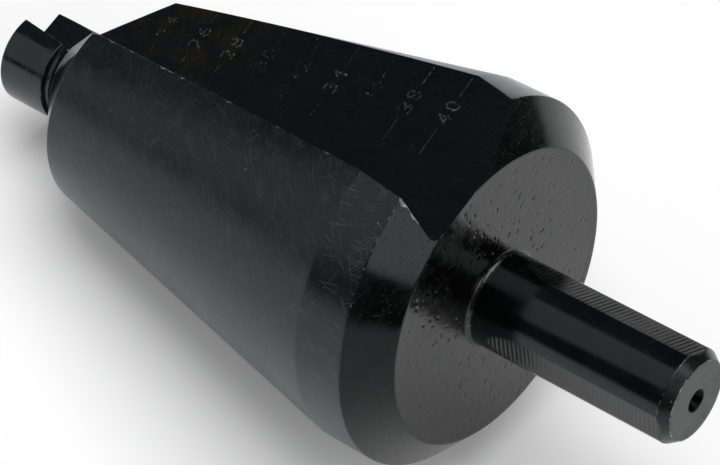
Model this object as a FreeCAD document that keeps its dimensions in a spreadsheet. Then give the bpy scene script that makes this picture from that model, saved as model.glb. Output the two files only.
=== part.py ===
import FreeCAD, Part
import math
import os
from enum import IntEnum

import Sketcher

# Cone drill bit: one piece, turned, milled and ground from a single bar.
# In the body's own frame the axis is X: the pilot's flat front is at 0 and the shank ends at the back.
# The placement at the end lays the piece on its cone, with the flute up, as it comes to rest.
# Lengths are millimetres and angles are degrees.

DRIVING_SIZES = {
    # pilot, neck and the bevel that leads up to the cutting cone
    "pilot_diameter": 10.6,
    "pilot_length": 6.3,
    "neck_diameter": 9.8,
    "neck_length": 0.9,
    "neck_fillet": 0.8,
    "front_bevel_length": 7.0,
    # cutting cone, straight band and rear bevel
    "front_diameter": 24.0,
    "cone_length": 42.2,
    "band_diameter": 40.0,
    "band_length": 5.5,
    "rear_bevel_length": 3.5,
    "rear_bevel_height": 4.0,
    # shank, with a small fillet at its base and a chamfer at its end
    "shank_diameter": 10.0,
    "shank_length": 23.6,
    "base_fillet": 0.5,
    "end_chamfer_length": 1.1,
    "end_chamfer_height": 0.75,
    # flats for the jaws of a chuck, each with the run-out of a round cutter towards the cone
    "flat_count": 3,
    "flat_depth": 0.3,
    "flat_cutter_radius": 40.0,
    "round_stretch": 1.4,
    "cutter_clearance": 0.1,
    # centre hole in the end of the shank
    "centre_mouth_diameter": 2.5,
    "centre_hole_diameter": 1.2,
    "centre_hole_depth": 3.0,
    "centre_cone_angle": 60.0,
    "centre_tip_angle": 118.0,
    # straight V flute: where its root crosses the front face and the rear face, and its two walls
    "root_front_radius": 1.6,
    "root_front_angle": 76.0,
    "root_exit_rise": 0.2,
    "root_exit_angle": 116.4,
    "rake_wall_angle": 91.5,
    "back_wall_angle": 12.6,
    "root_fillet": 0.7,
}

# Sizes that follow from the driving ones. Each may use those above it.
DERIVED_SIZES = {
    "neck_end": "pilot_length + neck_length",
    "cone_start": "neck_end + front_bevel_length",
    "cone_end": "cone_start + cone_length",
    "band_end": "cone_end + band_length",
    "rear_face": "band_end + rear_bevel_length",
    "total_length": "rear_face + shank_length",
    "pilot_radius": "pilot_diameter / 2",
    "neck_radius": "neck_diameter / 2",
    "front_radius": "front_diameter / 2",
    "band_radius": "band_diameter / 2",
    "rear_radius": "band_radius - rear_bevel_height",
    "shank_radius": "shank_diameter / 2",
    "cone_half_angle": "atan((band_radius - front_radius) / cone_length)",
    "flat_height": "shank_radius - flat_depth",
    "flat_clear": "shank_radius + cutter_clearance",
    "runout_drop": "flat_cutter_radius - flat_depth - cutter_clearance",
    "flat_runout": "sqrt(flat_cutter_radius ^ 2 - runout_drop ^ 2)",
    "runout_begin": "rear_face + round_stretch",
    "flat_begin": "runout_begin + flat_runout",
    "flat_end": "total_length + cutter_clearance",
    "mouth_radius": "centre_mouth_diameter / 2",
    "hole_radius": "centre_hole_diameter / 2",
    "mouth_end": "total_length - (mouth_radius - hole_radius) / tan(centre_cone_angle / 2)",
    "hole_end": "total_length - centre_hole_depth",
    "hole_tip": "hole_end - hole_radius / tan(centre_tip_angle / 2)",
    "root_front_side": "root_front_radius * cos(root_front_angle)",
    "root_front_height": "root_front_radius * sin(root_front_angle)",
    "root_exit_radius": "rear_radius + root_exit_rise",
    "root_exit_side": "root_exit_radius * cos(root_exit_angle)",
    "root_exit_height": "root_exit_radius * sin(root_exit_angle)",
    "wall_reach": "2.5 * band_radius",
}

MATCH_TOLERANCE = 1e-6


class Axis(IntEnum):
    """The sketcher's own numbers for a sketch's two axes."""

    HORIZONTAL = -1
    VERTICAL = -2


class At(IntEnum):
    """The sketcher's own numbers for the two ends of a line or an arc."""

    START = 1
    END = 2


def add_sizes(doc):
    """Fill the spreadsheet, and return a function that reads a size from it."""
    sheet = doc.addObject("Spreadsheet::Sheet", "sizes")
    cells = [(name, str(value)) for name, value in DRIVING_SIZES.items()]
    cells += [(name, "=" + formula) for name, formula in DERIVED_SIZES.items()]
    for row, (name, content) in enumerate(cells, 1):
        sheet.set("A%d" % row, name)
        sheet.set("B%d" % row, content)
        sheet.setAlias("B%d" % row, name)
    doc.recompute()
    return lambda name: float(sheet.get(name))


def origin_item(body, role):
    """One of the body's own origin planes or axes."""
    return next(item for item in body.Origin.OriginFeatures if item.Role == role)


def sketch_on(body, role, name):
    """A new sketch on one of the body's own origin planes."""
    sketch = body.newObject("Sketcher::SketchObject", name)
    sketch.AttachmentSupport = [(origin_item(body, role), "")]
    sketch.MapMode = "FlatFace"
    return sketch


def bind(sketch, constraint, label, formula):
    """Add a constraint whose value is a formula of the sheet's sizes."""
    index = sketch.addConstraint(constraint)
    sketch.renameConstraint(index, label)
    sketch.setExpression("Constraints." + label, formula)


def bind_place(sketch, size, geometry, end, label, across, up):
    """Hold a point at two sizes from the origin. None puts it on the axis, a minus sign on the far side."""
    for kind, alias, axis in (("DistanceX", across, Axis.VERTICAL), ("DistanceY", up, Axis.HORIZONTAL)):
        if alias is None:
            sketch.addConstraint(Sketcher.Constraint("PointOnObject", geometry, end, axis))
            continue
        origin = (Axis.HORIZONTAL, At.START)
        points = (geometry, end) + origin if alias.startswith("-") else origin + (geometry, end)
        alias = alias.lstrip("-")
        bind(sketch, Sketcher.Constraint(kind, *points, size(alias)), label + kind, "sizes." + alias)


def place_of(size, across, up):
    """The point that two sizes name, for a sketch's first guess."""
    values = []
    for alias in (across, up):
        sign = -1 if alias and alias.startswith("-") else 1
        values.append(sign * size(alias.lstrip("-")) if alias else 0)
    return FreeCAD.Vector(values[0], values[1], 0)


def closed_outline(sketch, size, corners):
    """Straight lines round the corners, each corner a label and the two sizes that place it."""
    places = [place_of(size, across, up) for _, across, up in corners]
    for number, place in enumerate(places):
        sketch.addGeometry(Part.LineSegment(place, places[(number + 1) % len(places)]), False)
    for number in range(len(places)):
        following = (number + 1) % len(places)
        sketch.addConstraint(Sketcher.Constraint("Coincident", number, At.END, following, At.START))
    for number, (label, across, up) in enumerate(corners):
        bind_place(sketch, size, number, At.START, label, across, up)


def round_edge(shape, along, radius):
    """The name of the round edge at this place on the axis and of this radius."""
    for number, edge in enumerate(shape.Edges, 1):
        curve = edge.Curve
        if curve.TypeId != "Part::GeomCircle" or abs(curve.Radius - radius) > MATCH_TOLERANCE:
            continue
        if abs(curve.Center.x - along) < MATCH_TOLERANCE:
            return "Edge%d" % number
    raise RuntimeError("no round edge of radius %.3f at %.3f" % (radius, along))


def add_turned_blank(body, size):
    """The turned form: pilot, neck, front bevel, cone, band, rear bevel and shank."""
    profile = sketch_on(body, "XZ_Plane", "turned_profile")
    closed_outline(profile, size, [
        ("front_centre", None, None),
        ("pilot_front", None, "pilot_radius"),
        ("pilot_back", "pilot_length", "pilot_radius"),
        ("neck_front", "pilot_length", "neck_radius"),
        ("neck_back", "neck_end", "neck_radius"),
        ("cone_front", "cone_start", "front_radius"),
        ("cone_back", "cone_end", "band_radius"),
        ("band_back", "band_end", "band_radius"),
        ("rear_rim", "rear_face", "rear_radius"),
        ("shank_base", "rear_face", "shank_radius"),
        ("shank_back", "total_length", "shank_radius"),
        ("back_centre", "total_length", None),
    ])
    blank = body.newObject("PartDesign::Revolution", "turned_blank")
    blank.Profile = profile
    blank.ReferenceAxis = (profile, ["H_Axis"])
    blank.Angle = 360
    body.Document.recompute()
    return blank


def add_turned_edges(body, blank, size):
    """Fillets at the neck and at the shank's base, and the chamfer at the shank's end."""
    doc = body.Document
    rounded = blank
    for name, along, radius in (("neck_fillet", "neck_end", "neck_radius"),
                                ("base_fillet", "rear_face", "shank_radius")):
        fillet = body.newObject("PartDesign::Fillet", name)
        fillet.Base = (rounded, [round_edge(rounded.Shape, size(along), size(radius))])
        fillet.setExpression("Radius", "sizes." + name)
        doc.recompute()
        rounded = fillet
    chamfer = body.newObject("PartDesign::Chamfer", "end_chamfer")
    chamfer.Base = (rounded, [round_edge(rounded.Shape, size("total_length"), size("shank_radius"))])
    chamfer.ChamferType = "Two distances"
    chamfer.setExpression("Size", "sizes.end_chamfer_length")
    chamfer.setExpression("Size2", "sizes.end_chamfer_height")
    doc.recompute()
    return chamfer


def add_flute(body, size):
    """The straight V flute, milled along its slanting root from the front face out past the rear face."""
    section = sketch_on(body, "YZ_Plane", "flute_section")
    apex = place_of(size, "root_front_side", "root_front_height")
    fillet = size("root_fillet")
    directions = []
    for wall in ("rake_wall_angle", "back_wall_angle"):
        angle = math.radians(size(wall))
        directions.append(FreeCAD.Vector(math.cos(angle), math.sin(angle), 0))
    reach = size("wall_reach")
    half_opening = math.radians(size("rake_wall_angle") - size("back_wall_angle")) / 2
    tangent_length = fillet / math.tan(half_opening)
    bisector = (directions[0] + directions[1]).normalize()
    centre = apex + bisector * (fillet / math.sin(half_opening))
    starts = [apex + direction * tangent_length for direction in directions]
    for start, direction in zip(starts, directions):
        section.addGeometry(Part.LineSegment(start, apex + direction * reach), False)
    start_angle = math.radians(size("rake_wall_angle") + 90)
    end_angle = math.radians(size("back_wall_angle") + 270)
    circle = Part.Circle(centre, FreeCAD.Vector(0, 0, 1), fillet)
    section.addGeometry(Part.ArcOfCircle(circle, start_angle, end_angle), False)
    section.addGeometry(Part.LineSegment(apex + directions[0] * reach, apex + directions[1] * reach), False)
    rake, back, root, mouth = range(4)
    apex_point = section.addGeometry(Part.Point(apex), True)
    bind_place(section, size, apex_point, At.START, "apex", "root_front_side", "root_front_height")
    for wall in (rake, back):
        section.addConstraint(Sketcher.Constraint("PointOnObject", apex_point, At.START, wall))
    section.addConstraint(Sketcher.Constraint("Tangent", rake, At.START, root, At.START))
    section.addConstraint(Sketcher.Constraint("Tangent", back, At.START, root, At.END))
    section.addConstraint(Sketcher.Constraint("Coincident", rake, At.END, mouth, At.START))
    section.addConstraint(Sketcher.Constraint("Coincident", back, At.END, mouth, At.END))
    bind(section, Sketcher.Constraint("Angle", rake, math.radians(size("rake_wall_angle"))),
         "rake_angle", "sizes.rake_wall_angle")
    bind(section, Sketcher.Constraint("Angle", back, math.radians(size("back_wall_angle"))),
         "back_angle", "sizes.back_wall_angle")
    bind(section, Sketcher.Constraint("Radius", root, fillet), "root_radius", "sizes.root_fillet")
    for wall, label in ((rake, "rake_reach"), (back, "back_reach")):
        constraint = Sketcher.Constraint("Distance", apex_point, At.START, wall, At.END, reach)
        bind(section, constraint, label, "sizes.wall_reach")
    flute = body.newObject("PartDesign::Pocket", "flute")
    flute.Profile = section
    flute.Type = "Length"
    flute.UseCustomVector = True
    flute.AlongSketchNormal = True
    flute.Direction = FreeCAD.Vector(
        size("rear_face"),
        size("root_exit_side") - size("root_front_side"),
        size("root_exit_height") - size("root_front_height"),
    )
    flute.setExpression("Direction.x", "sizes.rear_face")
    flute.setExpression("Direction.y", "sizes.root_exit_side - sizes.root_front_side")
    flute.setExpression("Direction.z", "sizes.root_exit_height - sizes.root_front_height")
    flute.setExpression("Length", "sizes.total_length")
    body.Document.recompute()
    return flute


def add_flats(body, size):
    """The flats on the shank: one is milled with its run-out, and repeated round the axis."""
    profile = sketch_on(body, "XY_Plane", "flat_profile")
    radius = size("flat_cutter_radius")
    begin = place_of(size, "flat_begin", "-flat_height")
    end = place_of(size, "flat_end", "-flat_height")
    outer_end = place_of(size, "flat_end", "-flat_clear")
    outer_begin = place_of(size, "runout_begin", "-flat_clear")
    cutter = Part.Circle(begin - FreeCAD.Vector(0, radius, 0), FreeCAD.Vector(0, 0, 1), radius)
    runout_angle = math.asin(size("flat_runout") / radius)
    profile.addGeometry(Part.LineSegment(begin, end), False)
    profile.addGeometry(Part.LineSegment(end, outer_end), False)
    profile.addGeometry(Part.LineSegment(outer_end, outer_begin), False)
    profile.addGeometry(Part.ArcOfCircle(cutter, math.pi / 2, math.pi / 2 + runout_angle), False)
    flat, back, outside, runout = range(4)
    profile.addConstraint(Sketcher.Constraint("Coincident", flat, At.END, back, At.START))
    profile.addConstraint(Sketcher.Constraint("Coincident", back, At.END, outside, At.START))
    profile.addConstraint(Sketcher.Constraint("Coincident", outside, At.END, runout, At.END))
    profile.addConstraint(Sketcher.Constraint("Tangent", flat, At.START, runout, At.START))
    bind_place(profile, size, flat, At.START, "flat_begin", "flat_begin", "-flat_height")
    bind_place(profile, size, flat, At.END, "flat_end", "flat_end", "-flat_height")
    bind_place(profile, size, back, At.END, "outer_end", "flat_end", "-flat_clear")
    bind_place(profile, size, runout, At.END, "runout_begin", "runout_begin", "-flat_clear")
    cut = body.newObject("PartDesign::Pocket", "shank_flat")
    cut.Profile = profile
    cut.Type = "Length"
    cut.Midplane = True
    cut.setExpression("Length", "2 * sizes.flat_clear")
    body.Document.recompute()
    flats = body.newObject("PartDesign::PolarPattern", "shank_flats")
    flats.Originals = [cut]
    flats.Axis = (origin_item(body, "X_Axis"), [""])
    flats.Angle = 360
    flats.setExpression("Occurrences", "sizes.flat_count")
    body.Tip = flats
    body.Document.recompute()
    return flats


def add_centre_hole(body, size):
    """The centre hole in the end of the shank, with its cone for a lathe centre."""
    profile = sketch_on(body, "XZ_Plane", "centre_profile")
    closed_outline(profile, size, [
        ("tip", "hole_tip", None),
        ("mouth_centre", "total_length", None),
        ("mouth_edge", "total_length", "mouth_radius"),
        ("cone_bottom", "mouth_end", "hole_radius"),
        ("hole_bottom", "hole_end", "hole_radius"),
    ])
    hole = body.newObject("PartDesign::Groove", "centre_hole")
    hole.Profile = profile
    hole.ReferenceAxis = (profile, ["H_Axis"])
    hole.Angle = 360
    body.Tip = hole
    body.Document.recompute()
    return hole


def lay_at_rest(body, size):
    """Lay the cone along the floor with its heavy side down, and put the origin under the middle of the box."""
    heavy_side = body.Shape.Solids[0].CenterOfMass
    roll = math.degrees(math.atan2(heavy_side.y, -heavy_side.z))
    turn_heavy_side_down = FreeCAD.Rotation(FreeCAD.Vector(1, 0, 0), -roll)
    tip_cone_down = FreeCAD.Rotation(FreeCAD.Vector(0, 1, 0), -size("cone_half_angle"))
    body.Placement = FreeCAD.Placement(FreeCAD.Vector(0, 0, 0), tip_cone_down * turn_heavy_side_down)
    box = body.Shape.optimalBoundingBox(False)
    body.Placement.Base = FreeCAD.Vector(-box.Center.x, -box.Center.y, -box.ZMin)
    body.Document.recompute()


def check_cut(feature, before):
    """A cut that points away from the metal leaves the volume as it was."""
    if feature.Shape.Volume > before - 0.1:
        raise RuntimeError(feature.Label + " removed no metal")
    print("%s removed %.1f mm3" % (feature.Label, before - feature.Shape.Volume))
    return feature.Shape.Volume


def main():
    doc = FreeCAD.newDocument("cone_drill_bit")
    size = add_sizes(doc)
    body = doc.addObject("PartDesign::Body", "cone_drill_bit")
    body.Label = "cone_drill_bit"
    blank = add_turned_blank(body, size)
    turned = add_turned_edges(body, blank, size)
    volume = check_cut(add_flute(body, size), turned.Shape.Volume)
    volume = check_cut(add_flats(body, size), volume)
    check_cut(add_centre_hole(body, size), volume)
    lay_at_rest(body, size)

    for item in doc.Objects:
        if "Invalid" in item.State or "Error" in item.State:
            raise RuntimeError(item.Label + " failed: " + ", ".join(item.State))
    if body.Shape.isNull() or not body.Shape.isValid() or len(body.Shape.Solids) != 1:
        raise RuntimeError("the body isn't one valid solid")
    os.makedirs("parts", exist_ok=True)
    body.Shape.exportStep("parts/%s.step" % body.Label)
    box = body.Shape.BoundBox
    print("box %.2f x %.2f x %.2f mm, volume %.0f mm3" % (box.XLength, box.YLength, box.ZLength, body.Shape.Volume))


main()
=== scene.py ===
"""Looks of the cone drill bit: one dressed mesh, its scale marks, its finishes and a small studio.

Lengths are millimetres on the bit's own axes, unless a name says metres. On those axes X runs from
the pilot's front face to the shank's end, Y is the row frame's Y, and Z is square to both.
"""

import logging
import math
from dataclasses import dataclass, field
from enum import Enum

import bmesh
import bpy
import numpy as np
from mathutils import Matrix, Vector, noise


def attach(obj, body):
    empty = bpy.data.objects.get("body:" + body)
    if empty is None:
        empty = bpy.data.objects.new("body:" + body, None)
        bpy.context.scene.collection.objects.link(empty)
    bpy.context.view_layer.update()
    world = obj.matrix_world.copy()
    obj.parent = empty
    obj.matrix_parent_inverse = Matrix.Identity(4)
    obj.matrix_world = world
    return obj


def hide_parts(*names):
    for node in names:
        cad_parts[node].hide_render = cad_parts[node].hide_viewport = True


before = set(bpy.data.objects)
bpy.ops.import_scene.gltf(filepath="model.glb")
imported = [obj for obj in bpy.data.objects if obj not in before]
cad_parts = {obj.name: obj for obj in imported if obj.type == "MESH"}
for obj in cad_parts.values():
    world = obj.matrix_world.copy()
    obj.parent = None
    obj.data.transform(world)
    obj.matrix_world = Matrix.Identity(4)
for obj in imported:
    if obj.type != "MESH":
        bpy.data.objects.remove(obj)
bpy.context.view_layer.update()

LOG = logging.getLogger("cone_drill_bit")
METRES = 0.001
ARC_DEGREES = 11
SHARP_DEGREES = 17
NODE = "cone_drill_bit"

Colour = tuple[float, float, float]
Array = np.ndarray
Faces = list[tuple[int, ...]]
Socket = bpy.types.NodeSocket
Tree = bpy.types.NodeTree
Inputs = dict[str | int, object]


class Surface(Enum):
    """The surfaces of the bit that have a finish of their own."""

    PILOT = 0
    FRONT_BEVEL = 1
    CONE = 2
    BAND = 3
    REAR_BEVEL = 4
    REAR_FACE = 5
    SHANK = 6
    FLAT = 7
    END_FACE = 8
    FLUTE = 9
    HOLE = 10


def direction(degrees: float) -> Array:
    """The unit direction at this angle from Y towards Z."""
    return np.array([math.cos(math.radians(degrees)), math.sin(math.radians(degrees))])


def rough_field(points: Array, size: float, seed: int, octaves: int = 1) -> Array:
    """Smooth seeded noise over places in millimetres.

    Args:
        points: places, one a row, with two or three coordinates.
        size: how far apart the bumps are.
        seed: picks another field.
        octaves: how many finer layers are summed.

    Returns:
        One value a place, roughly from -1 to 1.
    """
    flat = np.zeros((len(points), 3))
    flat[:, : points.shape[1]] = points / size
    flat += np.array([seed * 17.31, seed * 5.77, seed * 11.13])
    if octaves == 1:
        return np.array([noise.noise(Vector(place)) for place in flat])
    return np.array([noise.fractal(Vector(place), 0.9, 2.1, octaves) for place in flat])


@dataclass(frozen=True)
class Placement:
    """Where the bit's own axes lie in the row frame: on its cone, rolled heavy side down."""

    station: float = 65.4
    point: Colour = (20.6312, 0.0, 21.32633)
    lift: float = 10.73431
    roll: float = 6.50088

    def to_row(self, points: Array) -> Array:
        """Moves places from the bit's own axes to the row frame.

        Args:
            points: places in millimetres, one a row.

        Returns:
            The same places in metres in the row frame.
        """
        lifted = Matrix.Rotation(-math.radians(self.lift), 3, "Y")
        rolled = Matrix.Rotation(math.radians(self.roll), 3, "X")
        from_rear = points - np.array([self.station, 0, 0])
        return (np.array(self.point) + from_rear @ np.array(lifted @ rolled).T) * METRES


@dataclass(frozen=True)
class Corner:
    """One corner of a turned profile, and the run of metal that follows it."""

    station: float
    radius: float
    rounding: float
    surface: Surface
    step: float = 0.6
    wear: float = 0.0


def rounded_profile(corners: list[Corner]) -> tuple[Array, list[Surface]]:
    """Walks along the corners, rounds them, and cuts the runs into short steps.

    Args:
        corners: the profile from the front to the back. The first and the last stay sharp.

    Returns:
        Rows of station, radius and edge wear, and the surface of each strip between two rows.
    """
    rows: list[tuple[float, float, float]] = []
    surfaces: list[Surface] = []

    def put(place: Array, wear: float, surface: Surface) -> None:
        """Adds a row, and the strip that leads to it."""
        if rows:
            surfaces.append(surface)
        rows.append((float(place[0]), float(place[1]), wear))

    places = [np.array([corner.station, corner.radius]) for corner in corners]
    put(places[0], corners[0].wear, corners[0].surface)
    leave = places[0]
    for number in range(1, len(corners)):
        here, before = corners[number], corners[number - 1]
        incoming = places[number] - places[number - 1]
        incoming /= np.linalg.norm(incoming)
        arc: list[Array] = [places[number]]
        if here.rounding > 0 and number < len(corners) - 1:
            outgoing = places[number + 1] - places[number]
            outgoing /= np.linalg.norm(outgoing)
            cross = incoming[0] * outgoing[1] - incoming[1] * outgoing[0]
            turn = math.atan2(cross, float(incoming @ outgoing))
            begin = places[number] - incoming * here.rounding * math.tan(abs(turn) / 2)
            side = math.copysign(1.0, turn)
            centre = begin + side * here.rounding * np.array([-incoming[1], incoming[0]])
            count = max(2, math.ceil(abs(math.degrees(turn)) / ARC_DEGREES))
            arc = []
            for share in np.linspace(0, turn, count + 1):
                arm = begin - centre
                arc.append(centre + np.array([arm[0] * math.cos(share) - arm[1] * math.sin(share),
                                              arm[0] * math.sin(share) + arm[1] * math.cos(share)]))
        length = float(np.linalg.norm(arc[0] - leave))
        steps = max(1, math.ceil(length / before.step))
        for share in range(1, steps):
            put(leave + (arc[0] - leave) * share / steps, 0.0, before.surface)
        for place in arc:
            put(place, here.wear, before.surface)
        leave = arc[-1]
    return np.array(rows), surfaces


def travel_along(rows: Array) -> Array:
    """The length along a turned profile at each of its rows."""
    steps = np.linalg.norm(np.diff(rows[:, :2], axis=0), axis=1)
    return np.concatenate([[0.0], np.cumsum(steps)])


def add_object(name: str, data: bpy.types.ID) -> bpy.types.Object:
    """Makes an object of this data, and links it to the scene."""
    made = bpy.data.objects.new(name, data)
    bpy.context.scene.collection.objects.link(made)
    return made


@dataclass
class Shell:
    """Collects rings of points into one mesh with surfaces, texture places and edge wear."""

    points: list[Array] = field(default_factory=list)
    wear: list[Array] = field(default_factory=list)
    faces: Faces = field(default_factory=list)
    surfaces: list[int] = field(default_factory=list)
    places: list[tuple[float, float]] = field(default_factory=list)
    count: int = 0

    def add_points(self, points: Array, wear: Array | float = 0.0) -> Array:
        """Adds points in any array shape that ends in three coordinates.

        Args:
            points: places in millimetres.
            wear: edge wear from 0 to 1, one value or one for each point.

        Returns:
            The points' numbers, in the shape of the array without its last axis.
        """
        numbers = np.arange(self.count, self.count + points[..., 0].size).reshape(points.shape[:-1])
        self.points.append(points.reshape(-1, 3))
        self.wear.append(np.broadcast_to(wear, points.shape[:-1]).reshape(-1))
        self.count += numbers.size
        return numbers

    def add_face(self, numbers: tuple[int, ...], surface: int, places: list[tuple[float, float]]) -> None:
        """Adds one face with its surface and the texture place of each corner."""
        self.faces.append(numbers)
        self.surfaces.append(surface)
        self.places.extend(places)

    def add_rings(self, numbers: Array, begin: Array, end: Array, surfaces: Array) -> None:
        """Joins closed rings that all have the same number of points.

        Args:
            numbers: point numbers, one ring a row, from the front to the back.
            begin: texture place of each point as the start of its strip.
            end: texture place of the following point as the end of that strip.
            surfaces: surface number for each strip between two rings.
        """
        rings, columns = numbers.shape
        for ring in range(rings - 1):
            for column in range(columns):
                after = (column + 1) % columns
                here, there = numbers[ring], numbers[ring + 1]
                self.add_face(
                    (here[column], here[after], there[after], there[column]),
                    int(surfaces[ring, column]),
                    [tuple(begin[ring, column]), tuple(end[ring, column]),
                     tuple(end[ring + 1, column]), tuple(begin[ring + 1, column])],
                )

    def close_front(self, ring: Array, centre: int, surface: Surface, places: Array) -> None:
        """Fans a ring in to a point that lies before it along the profile."""
        for column in range(len(ring)):
            after = (column + 1) % len(ring)
            self.add_face((centre, ring[after], ring[column]), surface.value,
                          [(0.0, 0.0), tuple(places[after]), tuple(places[column])])

    def close_back(self, ring: Array, centre: int, surface: Surface, places: Array) -> None:
        """Fans a ring in to a point that lies after it along the profile."""
        for column in range(len(ring)):
            after = (column + 1) % len(ring)
            self.add_face((ring[column], ring[after], centre), surface.value,
                          [tuple(places[column]), tuple(places[after]), (0.0, 0.0)])

    def zip_rings(self, first: Array, second: Array, surface: Surface) -> None:
        """Joins two rings round the axis that have different numbers of points.

        Args:
            first: point numbers of the ring that comes first along the profile.
            second: point numbers of the ring that follows.
            surface: the surface of the strip between them.
        """
        points = np.concatenate(self.points)

        def in_order(ring: Array) -> list[tuple[float, int]]:
            """The ring's points by their angle round the axis, without repeats."""
            angles = np.arctan2(points[ring, 2], points[ring, 1])
            found: list[tuple[float, int]] = []
            for angle, number in sorted(zip(angles.tolist(), ring.tolist())):
                if not found or angle - found[-1][0] > 1e-7:
                    found.append((angle, number))
            return found

        one, two = in_order(first), in_order(second)
        one.append((one[0][0] + math.tau, one[0][1]))
        two.append((two[0][0] + math.tau, two[0][1]))
        here = there = 0
        while here < len(one) - 1 or there < len(two) - 1:
            step_first = there == len(two) - 1 or (
                here < len(one) - 1 and one[here + 1][0] <= two[there + 1][0])
            if step_first:
                corners = (one[here][1], one[here + 1][1], two[there][1])
                here += 1
            else:
                corners = (one[here][1], two[there + 1][1], two[there][1])
                there += 1
            self.add_face(corners, surface.value, [(points[n, 1], points[n, 2]) for n in corners])

    def build(self, name: str, placement: Placement) -> bpy.types.Object:
        """Makes the Blender object, in the row frame.

        Args:
            name: the object's name.
            placement: how the bit lies in the row frame.

        Returns:
            The new object, linked to the scene.
        """
        mesh = bpy.data.meshes.new(name)
        mesh.from_pydata(placement.to_row(np.concatenate(self.points)).tolist(), [], self.faces)
        mesh.polygons.foreach_set("material_index", self.surfaces)
        layer = mesh.uv_layers.new(name="surface_mm")
        layer.data.foreach_set("uv", np.array(self.places, np.float32).ravel())
        worn = mesh.attributes.new("edge_wear", "FLOAT", "POINT")
        worn.data.foreach_set("value", np.concatenate(self.wear).astype(np.float32))
        shaped = bmesh.new()
        shaped.from_mesh(mesh)
        bmesh.ops.remove_doubles(shaped, verts=shaped.verts, dist=2e-7)
        bmesh.ops.dissolve_degenerate(shaped, edges=shaped.edges, dist=1e-7)
        shaped.to_mesh(mesh)
        shaped.free()
        mesh.shade_smooth()
        mesh.set_sharp_from_angle(angle=math.radians(SHARP_DEGREES))
        made = add_object(name, mesh)
        weighted = made.modifiers.new("even_normals", "WEIGHTED_NORMAL")
        weighted.keep_sharp = True
        return made


@dataclass(frozen=True)
class EdgeChip:
    """A nick in the cutting edge: where it is, how long it is and how far it reaches in."""

    station: float
    length: float
    depth: float


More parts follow.
